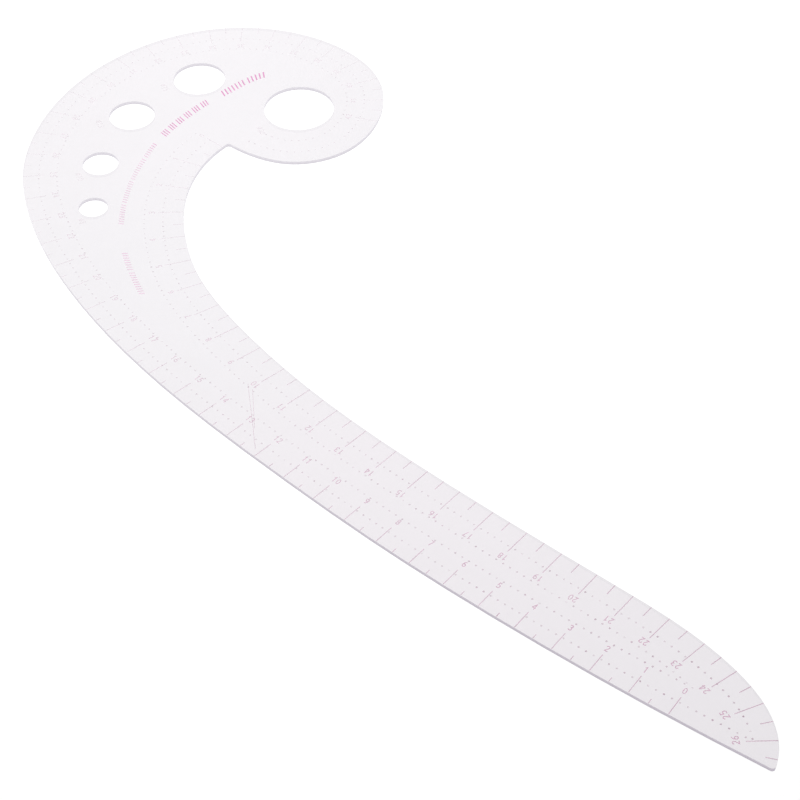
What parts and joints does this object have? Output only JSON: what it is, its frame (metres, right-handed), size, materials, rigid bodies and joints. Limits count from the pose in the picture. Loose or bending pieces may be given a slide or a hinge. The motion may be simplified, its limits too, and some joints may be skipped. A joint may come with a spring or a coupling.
{
  "type": "french curve",
  "caption": "Flat clear plastic french curve for dressmaking, with a hooked head, a long arm, round stencil holes and centimetre scales printed along both edges.",
  "frame": {"origin": "axis of the largest (hanging) hole, on the sheet's underside", "axes": "the sheet lies flat in the XY plane, +Z points out of the printed face, +X runs along the arm from the head to the tip, +Y points to the side the lobe and the concave edge are on"},
  "size_m": [0.2967, 0.1096, 0.0012],
  "materials": {
    "clear_plastic": "clear, faintly lavender plastic sheet, smooth and glossy",
    "scale_ink": "thin matt screen-printed ink, pale magenta",
    "numeral_ink": "thin matt screen-printed ink, pale magenta",
    "dot_ink": "thin matt screen-printed ink, greyed mauve",
    "band_ink": "thin matt screen-printed ink, magenta"
  },
  "bodies": {
    "root": {"curve_sheet": "clear_plastic", "inner_scale_ticks": "scale_ink", "outer_scale_ticks": "scale_ink", "inner_scale_numerals": "numeral_ink", "outer_scale_numerals": "numeral_ink", "inner_seam_dots_5mm": "dot_ink", "inner_seam_dots_10mm": "dot_ink", "outer_seam_dots_5mm": "dot_ink", "outer_seam_dots_10mm": "dot_ink", "construction_lines": "scale_ink", "hole_size_numerals": "numeral_ink", "centre_band": "band_ink"}
  },
  "joints": []
}
